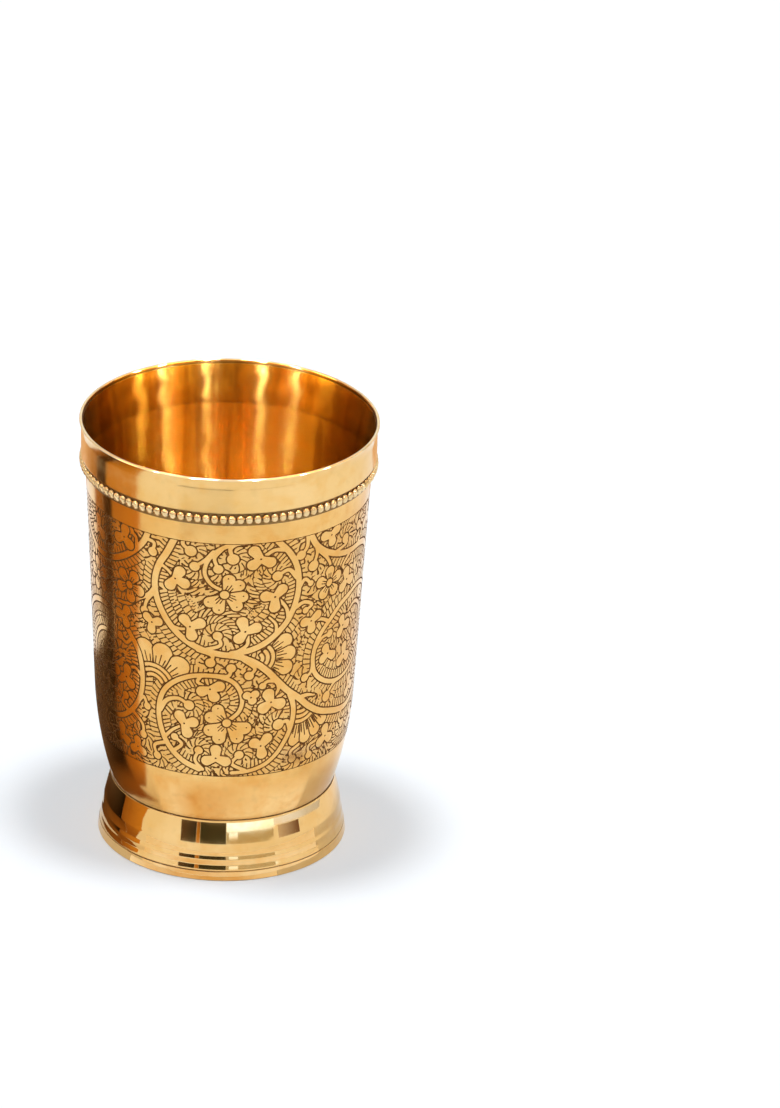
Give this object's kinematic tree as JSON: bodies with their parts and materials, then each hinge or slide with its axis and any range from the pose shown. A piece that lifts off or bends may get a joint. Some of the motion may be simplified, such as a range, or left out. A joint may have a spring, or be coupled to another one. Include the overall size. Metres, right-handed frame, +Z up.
{
  "type": "tumbler",
  "caption": "Footed brass tumbler: tapered engraved cup, plain mouth band with a rounded lip, beaded ring under the band and a flared turned foot",
  "frame": {"origin": "middle of the ring that stands on the table", "axes": "+Z up along the axis of the cup; X and Y are free, because every piece is turned about Z"},
  "size_m": [0.0762, 0.0762, 0.1156],
  "materials": {
    "engraved_brass": "satin, with darkened cuts",
    "polished_brass": "polished",
    "bead_brass": "polished, dark between the beads",
    "foot_brass": "mirror polished",
    "solder": "dull"
  },
  "bodies": {
    "root": {"cup_body": "engraved_brass", "mouth_band": "polished_brass", "beaded_wire": "bead_brass", "foot_ring": "foot_brass", "foot_solder": "solder"}
  },
  "joints": []
}
